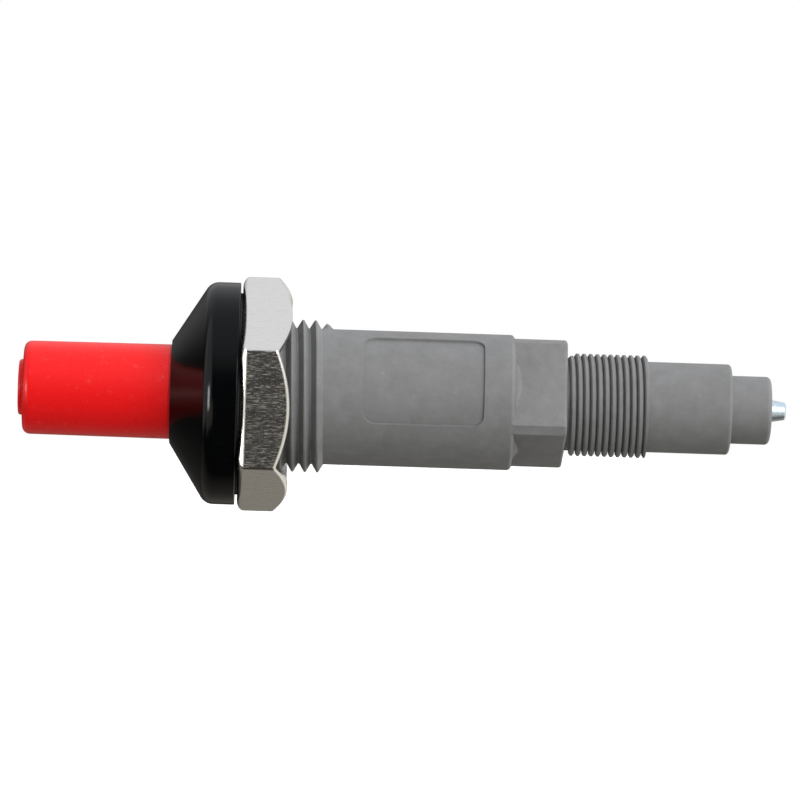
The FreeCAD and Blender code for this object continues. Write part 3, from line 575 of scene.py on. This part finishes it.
@dataclass
class Housing:
    """The grey moulding: spigot, panel thread, barrel with its label place, square, rear thread, tail."""

    material: Material
    spigot_length: float = 6.5
    spigot: float = 10.6716
    bead_rise: float = 0.35
    bore: float = 8.5
    bore_end: float = 38.5
    stack_bore: float = 5.0
    stack_end: float = 68.9
    pin_hole: float = 1.7
    land_end: float = 0.35
    major: float = 11.1916
    barrel: float = 9.975
    taper_start: float = 12.1
    taper_end: float = 14.1
    taper_lift: float = 0.08
    thread_end: float = 14.7
    barrel_end: float = 40.5
    barrel_round: float = 0.6
    label_start: float = 18.35
    label_end: float = 36.0
    label_depth: float = 0.36
    label_angle: float = 85.2
    label_turn: float = 69.5
    label_corner: float = 1.8
    label_wall: float = 0.07
    square_half: float = 7.52
    square_bevel: float = 1.0
    square_turn: float = 68.3
    square_end: float = 48.2
    square_edge: float = 0.45
    flare: float = 2.005
    flare_sink: float = 0.35
    rear_groove: float = 6.78
    rear_end: float = 60.2
    tail: float = 6.67
    tail_end: float = 72.55
    tail_round: float = 0.5
    nose: float = 5.01
    nose_end: float = 78.5
    nose_round: float = 0.7
    panel_thread: Thread = field(
        default_factory=lambda: Thread(
            first=1.94,
            pitch=1.84,
            turns=6.02,
            root=9.975,
            section=thread_section(1.84, [(0.834, 9.975), (0.1314, 11.1916)], 0.11),
        )
    )
    rear_thread: Thread = field(
        default_factory=lambda: Thread(
            first=48.87,
            pitch=0.985,
            turns=13.0,
            root=6.78,
            section=thread_section(0.985, [(0.43, 6.78), (0.375, 7.25), (0.17, 7.56)], 0.06, steps=2),
        )
    )

    def angles(self) -> np.ndarray:
        """Columns every three degrees, and where the label place and the square have their edges."""
        wall = self.label_wall / self.barrel
        corner = (self.label_corner - self.label_wall) / self.barrel
        steps = wall + corner * (1 - np.cos(np.linspace(0, math.pi / 2, 8)))
        half = math.radians(self.label_angle) / 2
        middle = math.radians(self.label_turn)
        edges = [middle - half + steps, middle + half - steps, [middle - half, middle + half]]
        short = math.atan2(self.square_half - self.square_bevel, self.square_half)
        flats = math.radians(self.square_turn) + np.arange(4) * math.pi / 2
        edges += [flats - short, flats + short]
        exact = np.concatenate([np.ravel(edge) for edge in edges]) % TURN
        plain = np.linspace(0, TURN, 121)
        apart = np.abs(plain[:, None] - exact[None, :]).min(axis=1)
        plain = plain[(apart > math.radians(0.8)) | (plain == 0) | (plain == TURN)]
        return np.unique(np.concatenate([plain, exact]))

    def square(self, angles: np.ndarray, inset: float = 0.0) -> np.ndarray:
        """Distance from the axis to the square's outline: the least of the distances to its eight sides."""
        bevel = (2 * self.square_half - self.square_bevel) / math.sqrt(2)
        sides = math.radians(self.square_turn) + np.arange(8) * math.pi / 4
        reach = np.where(np.arange(8) % 2 == 0, self.square_half, bevel) - inset
        facing = np.maximum(np.cos(angles[:, None] - sides[None, :]), 1e-3)
        return (reach[None, :] / facing).min(axis=1)

    def label_rows(self, angles: np.ndarray) -> tuple[np.ndarray, np.ndarray]:
        """Rows across the label place.

        The outline's ends bend round its corners: a row is moved inwards by c - sqrt(c^2 - (c - s)^2),
        where c is the corner's radius and s the distance from the outline's long edge. The floor is
        concentric with the barrel.
        """
        half = math.radians(self.label_angle) / 2
        inside = (half - np.abs(angles - math.radians(self.label_turn))) * self.barrel
        wall, corner = self.label_wall, self.label_corner
        lip = corner - np.sqrt(np.maximum(corner**2 - np.clip(corner - inside, 0, corner) ** 2, 0))
        inner = corner - wall
        foot = wall + inner - np.sqrt(np.maximum(inner**2 - np.clip(corner - inside, 0, inner) ** 2, 0))
        floor = np.where(inside > wall - 1e-6, self.barrel - self.label_depth, self.barrel)
        share = np.linspace(0, 1, 9)[:, None]
        start, end = self.label_start + foot, self.label_end - foot
        between = start + (end - start) * share
        x = np.concatenate([[self.label_start + lip], between, [self.label_end - lip]])
        rim = np.full((1, angles.size), self.barrel)
        r = np.concatenate([rim, floor + 0 * share, rim])
        return x, r

    def build(self) -> Object:
        """Join the stretches of the moulding, outside from spigot to nose and back through the bores."""
        angles = self.angles()
        front = rounded(
            [
                Corner(-self.spigot_length, self.bore),
                Corner(-self.spigot_length, self.spigot, 0.15),
                *bead(self.spigot, self.bead_rise),
                Corner(0, self.spigot),
                Corner(0, self.major, 0.08),
                Corner(self.land_end, self.major, 0.08),
                Corner(self.land_end, self.barrel),
            ]
        )
        x, r = self.panel_thread.rows(angles, self.land_end, self.thread_end)
        slope = (self.barrel - self.major) / (self.taper_end - self.taper_start)
        cone = self.major + self.taper_lift + (x - self.taper_start) * slope
        r = np.maximum(np.minimum(r, cone), self.barrel)
        thread = on_axis(x, r, angles)
        x, r = self.label_rows(angles)
        label = on_axis(x, r, angles)
        core = self.square_half - self.flare_sink
        back = rounded(
            [
                Corner(self.barrel_end - 3, self.barrel),
                Corner(self.barrel_end, self.barrel, self.barrel_round),
                Corner(self.barrel_end, core + self.flare),
            ]
        )
        turn = np.linspace(0, math.pi / 2, 13)
        arc_x = self.barrel_end + self.flare * (1 - np.cos(turn))
        arc = np.stack([arc_x, core + self.flare * (1 - np.sin(turn))], axis=1)
        shoulder = np.concatenate([back, arc])
        flats = self.square(angles)[None, :]
        on_barrel = shoulder[:, :1] < self.barrel_end - 1.0
        shoulder_r = np.where(on_barrel, shoulder[:, 1:], np.maximum(shoulder[:, 1:], flats))
        # The square's rear edge: a quarter circle, drawn in from the outline
        over = np.linspace(0, math.pi / 2, 6)
        edge_x = self.square_end - self.square_edge * (1 - np.sin(over))
        edge_r = np.stack([self.square(angles, self.square_edge * (1 - math.cos(step))) for step in over])
        square_x = np.concatenate([edge_x, [self.square_end]])[:, None]
        square_r = np.concatenate([edge_r, np.full_like(edge_r[:1], self.rear_groove)])
        x, r = self.rear_thread.rows(angles, self.square_end, self.rear_end)
        rear = on_axis(x, r, angles)
        tail = rounded(
            [
                Corner(self.rear_end, self.tail + 0.05),
                Corner(self.rear_end, self.tail),
                Corner(self.tail_end, self.tail, self.tail_round),
                Corner(self.tail_end, self.nose, 0.1),
                Corner(self.nose_end, self.nose, self.nose_round),
                Corner(self.nose_end, self.pin_hole, 0.06),
                Corner(self.stack_end, self.pin_hole),
                Corner(self.stack_end, self.stack_bore),
                Corner(self.bore_end, self.stack_bore),
                Corner(self.bore_end, self.bore),
                Corner(-self.spigot_length, self.bore),
            ]
        )
        grid = np.concatenate(
            [
                spun(front, angles),
                thread,
                label,
                on_axis(shoulder[:, :1], shoulder_r, angles),
                on_axis(square_x, square_r, angles),
                rear,
                spun(tail, angles),
            ]
        )
        return make_piece(
            "housing_moulding", [grid], Body.HOUSING, self.material, "housing", crease=40.0
        )


@dataclass
class Bezel:
    """The glossy cone-shaped collar, with a recess in its back face for the earth strip."""

    material: Material
    lip_reach: float = 9.85
    lip: float = 7.28
    lip_land: float = 0.3
    cone_reach: float = 4.35
    rim: float = 16.3516
    rim_round: float = 2.2
    hollow: float = 10.7316
    spigot_length: float = 6.5
    bead_rise: float = 0.35
    slot_half: float = 1.6
    slot_reach: float = 14.15
    slot_depth: float = 0.4

    def columns(self) -> tuple[np.ndarray, np.ndarray]:
        """Angles away from the recess's middle, and which columns lie in it: its edges have one of each."""
        half = math.asin(self.slot_half / self.hollow)
        inside = np.linspace(-half, half, 7)
        outside = np.linspace(half, TURN - half, 187)
        away = np.concatenate([inside, outside, inside[:1]])
        return away, np.repeat([True, False, True], [len(inside), len(outside), 1])

    def angles(self, r: np.ndarray, away: np.ndarray) -> np.ndarray:
        """Angles of the columns at a radius, drawn together so that the recess keeps its width.

        The recess's edge lies at asin(half its width / radius) from its middle, and the columns between it
        and a fifth of a radian beyond the edge at the hollow are spread evenly.
        """
        spread = 0.2
        edge = math.asin(self.slot_half / self.hollow)
        now = np.arcsin(self.slot_half / np.maximum(r, self.hollow))
        signed = (away + math.pi) % TURN - math.pi
        size = np.abs(signed)
        within = size * now / edge
        beyond = now + (size - edge) * (spread + edge - now) / spread
        size = np.where(size <= edge, within, np.where(size < edge + spread, beyond, size))
        return 1.5 * math.pi + np.sign(signed) * size

    def build(self) -> Object:
        """Turn its outline, from the lip over cone and rim to the back face's recess, and back inside."""
        away, inside = self.columns()
        outer = rounded(
            [
                Corner(-self.spigot_length, self.lip),
                Corner(-self.lip_reach, self.lip, 0.12),
                Corner(-self.lip_reach, self.lip + self.lip_land, 0.12),
                Corner(-self.cone_reach, self.rim, self.rim_round),
                Corner(0, self.rim, 0.18),
                Corner(0, self.slot_reach + 0.6),
            ],
            steps=14,
        )
        hollow = rounded(
            [
                *reversed(bead(self.hollow, self.bead_rise)),
                Corner(-self.spigot_length, self.hollow),
                Corner(-self.spigot_length, self.lip),
            ]
        )
        floor = np.where(inside, -self.slot_depth, 0.0)[None, :]
        far = math.hypot(self.slot_reach, self.slot_half)
        off = self.angles(np.array([[far]]), away) - 1.5 * math.pi
        end = np.where(inside, self.slot_reach / np.cos(off), far)
        level = np.concatenate([0 * floor, floor, floor])
        reach = np.concatenate([end, end, np.full_like(end, self.hollow)])
        x = np.concatenate([outer[:, :1] + 0 * floor, level, hollow[:, :1] + 0 * floor])
        r = np.concatenate([outer[:, 1:] + 0 * floor, reach, hollow[:, 1:] + 0 * floor])
        grid = on_axis(x, r, self.angles(r, away))
        return make_piece("bezel_collar", [grid], Body.HOUSING, self.material, "bezel")


@dataclass
class Button:
    """The hollow red button with its round boss, retaining flange and skirt."""

    material: Material
    reach: float = 31.5
    radius: float = 6.86
    root: float = 6.98
    edge_round: float = 1.1
    boss: float = 4.1
    boss_rise: float = 0.7
    boss_round: float = 0.4
    face_wall: float = 1.8
    bore: float = 5.46
    flange: float = 8.3
    flange_front: float = -6.5
    flange_back: float = -4.6
    step: float = -5.74
    skirt_inner: float = 6.93
    skirt_outer: float = 7.88
    skirt_tip: float = 0.22
    skirt_ramp: float = 1.5
    skirt_end: float = 6.86

    def build(self) -> Object:
        """Turn its outline, from the middle of the face over the wall, flange and skirt and back inside."""
        outline = rounded(
            [
                Corner(-self.reach - self.boss_rise, 0),
                Corner(-self.reach - self.boss_rise, self.boss, self.boss_round),
                Corner(-self.reach, self.boss, 0.15),
                Corner(-self.reach, self.radius, self.edge_round),
                Corner(self.flange_front, self.root),
                Corner(self.flange_front, self.flange, 0.1),
                Corner(self.flange_back, self.flange, 0.1),
                Corner(self.flange_back, self.skirt_outer),
                Corner(self.skirt_end - self.skirt_ramp, self.skirt_outer),
                Corner(self.skirt_end, self.skirt_inner + self.skirt_tip),
                Corner(self.skirt_end, self.skirt_inner),
                Corner(self.step, self.skirt_inner),
                Corner(self.step, self.bore),
                Corner(self.face_wall - self.reach, self.bore),
                Corner(self.face_wall - self.reach, 0),
            ],
            steps=10,
        )
        grid = spun(outline, round_angles(144))
        return make_piece("button_cap", [grid], Body.BUTTON, self.material, "push_button")


@dataclass
class Nut:
    """The hexagon nut, pressed from sheet and hollow at the back, with its drawn threaded collar."""

    material: Material
    front: float = 0.35
    half: float = 15.1516
    turn: float = 98.4
    corner: float = 0.7
    corner_front: float = 2.0
    bend: float = 1.0
    sheet: float = 1.25
    corner_end: float = 5.84
    flat_end: float = 7.7
    edge: float = 0.5
    bore: float = 11.2516
    inner_corner: float = 0.3
    burr: float = 0.08
    web_round: float = 0.35
    web_edge: float = 0.985
    collar_foot: float = 12.5
    collar: float = 12.2016
    collar_end: float = 5.15
    entry: float = 0.5
    thread: Thread = field(
        default_factory=lambda: Thread(
            first=2.86,
            pitch=1.84,
            turns=0.8,
            root=11.2516,
            section=thread_section(1.84, [(0.723, 11.2516), (0.102, 10.175)], 0.08),
        )
    )

    def hexagon(
        self, angles: np.ndarray, half: float | np.ndarray, corner: float | np.ndarray
    ) -> np.ndarray:
        """Distance from the axis to a hexagon with rounded corners.

        Along a face it is half / cos(angle from the face's middle). Round a corner it is where the ray meets
        a circle whose middle lies (half - corner) / cos(30 degrees) out along the corner.
        """
        away = np.abs((angles - math.radians(self.turn) + math.pi / 6) % (math.pi / 3) - math.pi / 6)
        half, corner, away = np.broadcast_arrays(half, corner, away)
        straight = half / np.cos(away)
        middle = (half - corner) / math.cos(math.pi / 6)
        past = math.pi / 6 - away
        arc = middle * np.cos(past) + np.sqrt(np.maximum(corner**2 - (middle * np.sin(past)) ** 2, 0))
        on_face = half * np.tan(away) <= (half - corner) * math.tan(math.pi / 6)
        return np.where(on_face, straight, arc)

    def back(self, r: np.ndarray) -> np.ndarray:
        """Where the sheet ends: a cone that takes the corners back, and square at mid-face."""
        tall = self.half / math.cos(math.pi / 6)
        slope = (self.flat_end - self.corner_end) / (tall - self.half)
        return np.minimum(self.flat_end, self.flat_end - (r - self.half) * slope)

    def columns(self) -> np.ndarray:
        """Angles every two degrees, with more at the hexagon's corners."""
        corners = math.radians(self.turn) + math.pi / 6 + np.arange(6) * math.pi / 3
        close = np.radians(np.array([0.2, 0.6, 1.1, 1.6, 2.2, 3.2, 4.5, 6.0, 8.0]))
        close = np.concatenate([-close[::-1], close])
        exact = (corners[:, None] + close[None, :]).ravel() % TURN
        return np.unique(np.concatenate([np.linspace(0, TURN, 181), exact]))

    def build(self) -> Object:
        """Join web, bend, faces, rim, hollow and collar into one closed surface."""
        angles = self.columns()[None, :]
        bend = np.linspace(0, math.pi / 2, 10)[:, None]
        # From the bore's entry across the web and round the bend to the faces
        rows = [
            (self.front + self.entry, self.bore + 0 * angles),
            (self.front, self.bore + self.entry + 0 * angles),
        ]
        bend_x = self.front + self.bend * (1 - np.sin(bend))
        bend_half = self.half - self.bend * (1 - np.cos(bend))
        bend_corner = self.corner + self.corner_front * np.sin(bend) ** 2
        face = self.hexagon(angles, bend_half, bend_corner)[::-1]
        rows.append((self.front, face[:1] * self.web_edge))
        rows.append((bend_x[::-1], face))
        outer = self.hexagon(angles, self.half, self.corner)
        inner = self.hexagon(angles, self.half - self.sheet, self.inner_corner)
        end = self.back(outer)
        start = self.front + self.bend
        share = np.array([0.03, 0.25, 0.5, 0.75, 0.97])[:, None]
        rows.append((start + (end - self.edge - start) * share, outer + 0 * share))
        # The sheet's cut edge, rounded outside
        edge = np.linspace(0, math.pi / 2, 6)[:, None]
        rows.append((end - self.edge * (1 - np.sin(edge)), outer - self.edge * (1 - np.cos(edge))))
        rows.append((end, inner + self.burr))
        rows.append((end - self.burr, inner))
        web = self.front + self.sheet
        rows.append((web + self.web_round, inner))
        rows.append((web, inner - self.web_round))
        collar = rounded(
            [
                Corner(web, self.collar_foot),
                Corner(web, self.collar, 0.15),
                Corner(self.collar_end, self.collar, 0.1),
                Corner(self.collar_end, self.bore),
            ]
        )
        rows.append((collar[:, :1], collar[:, 1:] + 0 * angles))
        x, r = self.thread.rows(angles[0], self.front + self.entry, self.collar_end)
        rows.append((x[::-1], r[::-1]))
        grid = np.concatenate([on_axis(x, r, angles) for x, r in rows])
        return make_piece("nut_pressing", [grid], Body.NUT, self.material, "mounting_nut")


@dataclass
class Washer:
    """The black rubber ring between bezel and nut."""

    material: Material
    hole: float = 11.4216
    radius: float = 14.8516
    thickness: float = 0.35

    def build(self) -> Object:
        """Turn a rounded rectangle."""
        outline = rounded(
            [
                Corner(self.thickness / 2, self.hole),
                Corner(0, self.hole, 0.08),
                Corner(0, self.radius, 0.1),
                Corner(self.thickness, self.radius, 0.1),
                Corner(self.thickness, self.hole, 0.08),
                Corner(self.thickness / 2, self.hole),
            ]
        )
        grid = spun(outline, round_angles(144))
        return make_piece(
            "sealing_washer", [grid], Body.WASHER, self.material, "panel_washer"
        )


@dataclass
class Pin:
    """The output pin."""

    material: Material
    head_start: float = 67.7
    head_end: float = 68.9
    head: float = 3.1
    radius: float = 1.65
    nose_end: float = 78.5
    tip: float = 1.25
    end: float = 80.85

    def build(self) -> Object:
        """Turn its outline from the head to the tip."""
        outline = rounded(
            [
                Corner(self.head_start, 0),
                Corner(self.head_start, self.head, 0.15),
                Corner(self.head_end, self.head, 0.15),
                Corner(self.head_end, self.radius),
                Corner(self.nose_end, self.radius, 0.3),
                Corner(self.end, self.tip, 0.35),
                Corner(self.end, 0),
            ]
        )
        grid = spun(outline, round_angles(64))
        return make_piece("output_pin", [grid], Body.HOUSING, self.material, "terminal_pin")


@dataclass(frozen=True)
class Ramp:
    """How light changes along one axis of a direction: from low at start to high at end."""

    axis: str
    start: float
    end: float
    low: float
    high: float
    blend: str = "SMOOTHSTEP"

    def settings(self) -> dict[str, Any]:
        """The settings of a map range node for it."""
        levels = {"From Min": self.start, "From Max": self.end, "To Min": self.low, "To Max": self.high}
        return {"interpolation_type": self.blend, **levels}


# The light of each card is the product of its ramps, and the brightest card counts
TENT: tuple[tuple[Ramp, ...], ...] = (
    # Overhead
    (Ramp("Z", 0.2, 0.85, 0.035, 0.98),),
    # High behind the object
    (Ramp("Z", 0.1, 0.5, 0.08, 0.7), Ramp("Y", 0.3, 0.7, 0.0, 1.0)),
    # The floor behind it
    (Ramp("Z", -0.2, -0.5, 0.0, 0.28), Ramp("Y", -0.1, 0.4, 0.0, 1.0)),
    # To the right, for the nut's cut edge
    (Ramp("X", 0.12, 0.36, 0.0, 0.95), Ramp("Z", -0.95, -0.6, 0.0, 1.0)),
    # To the left, for the fillets of button and rim
    (Ramp("X", -0.42, -0.6, 0.0, 1.7), Ramp("Z", -0.42, -0.2, 0.0, 1.0), Ramp("Y", 0.35, 0.1, 0.0, 1.0)),
    # Low on the left in front, for the nut's bend
    (
        Ramp("X", -0.22, -0.36, 0.0, 1.6),
        Ramp("Z", -0.08, -0.2, 0.0, 1.0),
        Ramp("Z", -0.6, -0.45, 0.0, 1.0),
        Ramp("Y", -0.2, -0.4, 0.0, 1.0),
    ),
)
# The dull surfaces' light is the product of these
DOME: tuple[Ramp, ...] = (Ramp("Z", -1.0, 1.0, 0.21, 1.42, "LINEAR"), Ramp("X", -0.75, 0.75, 0.12, 1.75))


@dataclass
class Studio:
    """Camera, lamps, floor and a graded white tent round the object."""

    lens: float = 241.4
    eye: tuple[float, float, float] = (0.00474, -0.7903, -0.00014)
    target: tuple[float, float, float] = (0.02392, 0.0, -0.00014)
    roll: float = 1.85
    floor_level: float = -0.08
    floor_reach: float = 8.0

    def place_camera(self) -> None:
        """Put the camera where the photograph was taken from."""
        data = bpy.data.cameras.new("camera")
        data.lens = self.lens
        data.sensor_width = 36.0
        data.clip_start, data.clip_end = 0.05, 20.0
        camera = bpy.data.objects.new("camera", data)
        bpy.context.scene.collection.objects.link(camera)
        look = Vector(self.target) - Vector(self.eye)
        turn = look.to_track_quat("-Z", "Y").to_matrix().to_4x4()
        roll = Matrix.Rotation(math.radians(self.roll), 4, "Z")
        camera.matrix_world = Matrix.Translation(self.eye) @ turn @ roll
        bpy.context.scene.camera = camera

    def add_lamp(
        self,
        name: str,
        place: tuple[float, float, float],
        size: tuple[float, float],
        power: float,
        lights: bool = True,
        mirrored: bool = True,
    ) -> None:
        """Add a soft box that faces the object.

        Args:
            name: the lamp's name.
            place: where it stands, in metres.
            size: its width and height.
            power: its power in watts.
            lights: whether it lights dull surfaces.
            mirrored: whether shiny surfaces mirror it.
        """
        data = bpy.data.lights.new(name, "AREA")
        data.shape = "RECTANGLE"
        data.size, data.size_y = size
        data.energy = power
        lamp = bpy.data.objects.new(name, data)
        bpy.context.scene.collection.objects.link(lamp)
        look = Vector((0.02, 0, 0)) - Vector(place)
        lamp.matrix_world = Matrix.Translation(place) @ look.to_track_quat("-Z", "Y").to_matrix().to_4x4()
        lamp.visible_diffuse = lights
        lamp.visible_glossy = mirrored

    def product(self, tree: NodeTree, way: Node, ramps: Sequence[Ramp]) -> Node:
        """Multiply the ramps' levels, for a direction that the node way splits into its axes."""
        light = None
        for ramp in ramps:
            level = add_node(tree, "MapRange", ramp.settings(), {"Value": way.outputs[ramp.axis]})
            if light is not None:
                level = add_node(tree, "Math", {"operation": "MULTIPLY"}, {0: light, 1: level})
            light = level
        return light

    def build_world(self) -> None:
        """White for the camera, a tent for mirrored rays and a soft dome for the rest.

        The tent is bright above, behind and at both sides, faint below and dark in front. The dome grows
        brighter upwards and to the right, and the light is a little warmer from below.
        """
        world = bpy.data.worlds.new("tent")
        bpy.context.scene.world = world
        world.use_nodes = True
        tree = world.node_tree
        path = add_node(tree, "LightPath")
        ray = add_node(tree, "TexCoord").outputs["Generated"]
        way = add_node(tree, "SeparateXYZ", {}, {0: ray})
        tent = None
        for card in TENT:
            light = self.product(tree, way, card)
            if tent is not None:
                light = add_node(tree, "Math", {"operation": "MAXIMUM"}, {0: tent, 1: light})
            tent = light
        dome = self.product(tree, way, DOME)
        shiny = add_node(
            tree,
            "Math",
            {"operation": "MAXIMUM"},
            {0: path.outputs["Is Glossy Ray"], 1: path.outputs["Is Transmission Ray"]},
        )
        level = add_node(tree, "Mix", {"data_type": "FLOAT"}, {0: shiny, 2: dome, 3: tent})
        level = add_node(
            tree, "Mix", {"data_type": "FLOAT", 3: 1.0}, {0: path.outputs["Is Camera Ray"], 2: level}
        )
        height = add_node(tree, "MapRange", {"From Min": -0.5, "From Max": 0.5}, {"Value": way.outputs["Z"]})
        tint = add_node(
            tree, "Mix", {"data_type": "RGBA", 6: linear("#fff8ea"), 7: linear("#fbfdff")}, {0: height}
        )
        tint = add_node(
            tree,
            "Mix",
            {"data_type": "RGBA", 7: linear("#ffffff")},
            {0: path.outputs["Is Camera Ray"], 6: tint.outputs[2]},
        )
        back = tree.nodes["Background"]
        tree.links.new(tint.outputs[2], back.inputs["Color"])
        tree.links.new(level.outputs[0], back.inputs["Strength"])

    def build_floor(self) -> None:
        """A pale floor: white with the object's soft shadow for the camera, warm grey for the light."""
        reach = self.floor_reach
        mesh = bpy.data.meshes.new("floor")
        spots = [(-reach, -reach), (reach, -reach), (reach, reach), (-reach, reach)]
        mesh.from_pydata([(x, y, self.floor_level) for x, y in spots], [], [(0, 1, 2, 3)])
        material = bpy.data.materials.new("pale_floor")
        material.use_nodes = True
        tree = material.node_tree
        shader = tree.nodes["Principled BSDF"]
        shader.inputs["Roughness"].default_value = 1.0
        shader.inputs["Specular IOR Level"].default_value = 0.0
        shader.inputs["Emission Color"].default_value = linear("#ffffff")
        path = add_node(tree, "LightPath")
        colour = add_node(
            tree,
            "Mix",
            {"data_type": "RGBA", 6: linear("#9b9a96"), 7: linear("#fafafa")},
            {0: path.outputs["Is Camera Ray"]},
        )
        glow = add_node(tree, "Math", {"operation": "MULTIPLY", 1: 0.2}, {0: path.outputs["Is Camera Ray"]})
        tree.links.new(colour.outputs[2], shader.inputs["Base Color"])
        tree.links.new(glow.outputs[0], shader.inputs["Emission Strength"])
        mesh.materials.append(material)
        floor = bpy.data.objects.new("floor", mesh)
        bpy.context.scene.collection.objects.link(floor)
        floor.visible_glossy = False

    def build(self) -> None:
        """Set up the whole studio."""
        self.place_camera()
        self.build_world()
        self.build_floor()
        self.add_lamp("key", (0.8, -1.15, 0.5), (0.9, 0.8), 10.4)
        self.add_lamp("left_mirrored", (-0.62, -0.5, -0.06), (0.22, 0.26), 4.0, lights=False)
        self.add_lamp("left", (-0.8, 0.0, 0.0), (0.24, 0.24), 1.6, mirrored=False)


def main() -> None:
    """Build the pieces in order, dress the nodes that stay, and set up the studio."""
    logging.basicConfig(level=logging.INFO, format="%(message)s")
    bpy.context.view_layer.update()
    materials = {slot: finish.build() for slot, finish in FINISHES.items()}
    for part in frame["record"]["subparts"]:
        item = frame["nodes"][part["node"]]
        item.material_slots[0].material = materials[part["material_slot"]]
    Housing(materials["grey_moulding"]).build()
    Bezel(materials["black_gloss"]).build()
    Button(materials["red_moulding"]).build()
    Nut(materials["nickel_sheet"]).build()
    Washer(materials["black_rubber"]).build()
    Pin(materials["zinc_steel"]).build()
    Studio().build()
    bpy.context.scene.view_settings.view_transform = "Standard"


if __name__ == "__main__":
    main()
